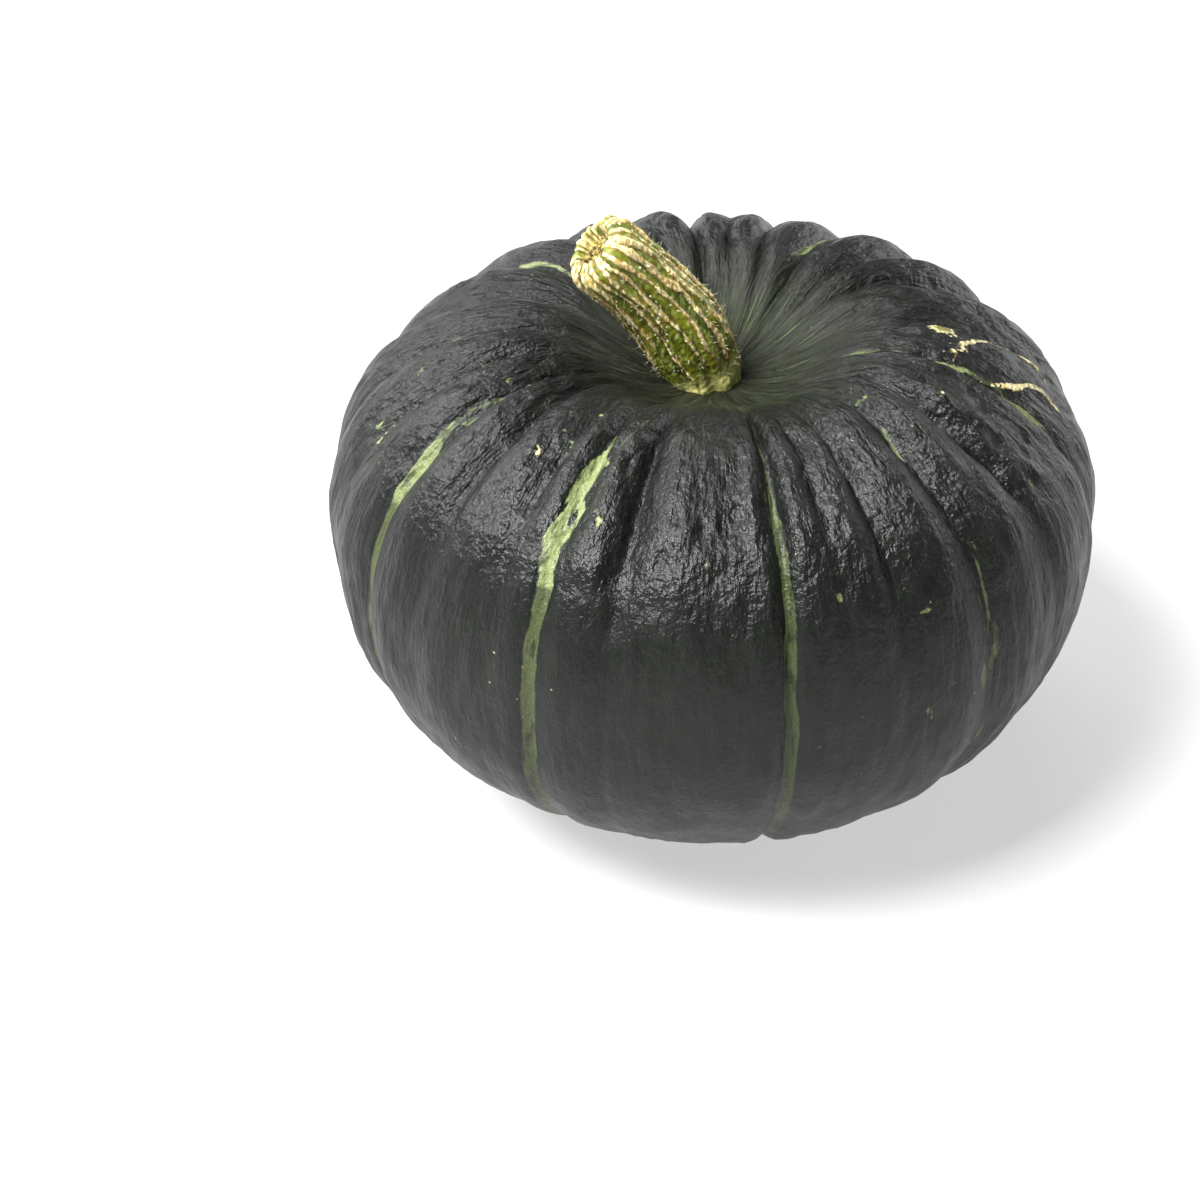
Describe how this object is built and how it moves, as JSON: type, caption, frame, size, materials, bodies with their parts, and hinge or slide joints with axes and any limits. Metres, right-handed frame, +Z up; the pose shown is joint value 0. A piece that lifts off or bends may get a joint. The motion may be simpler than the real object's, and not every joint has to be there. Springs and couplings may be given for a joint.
{
  "type": "kabocha pumpkin",
  "caption": "Whole kabocha pumpkin: squat, ribbed, dark green rind with pale green stripes, and a bent corky cut stem in the hollow on top.",
  "frame": {"origin": "on the resting surface, under the middle of the fruit", "axes": "+Z up through the stem hollow, -Y is the front, and the stem leans to the left, towards -X"},
  "size_m": [0.1844, 0.1846, 0.145],
  "materials": {
    "rind": "satin",
    "stem": "matte"
  },
  "bodies": {
    "root": {"fruit": "rind", "stem": "stem"}
  },
  "joints": []
}
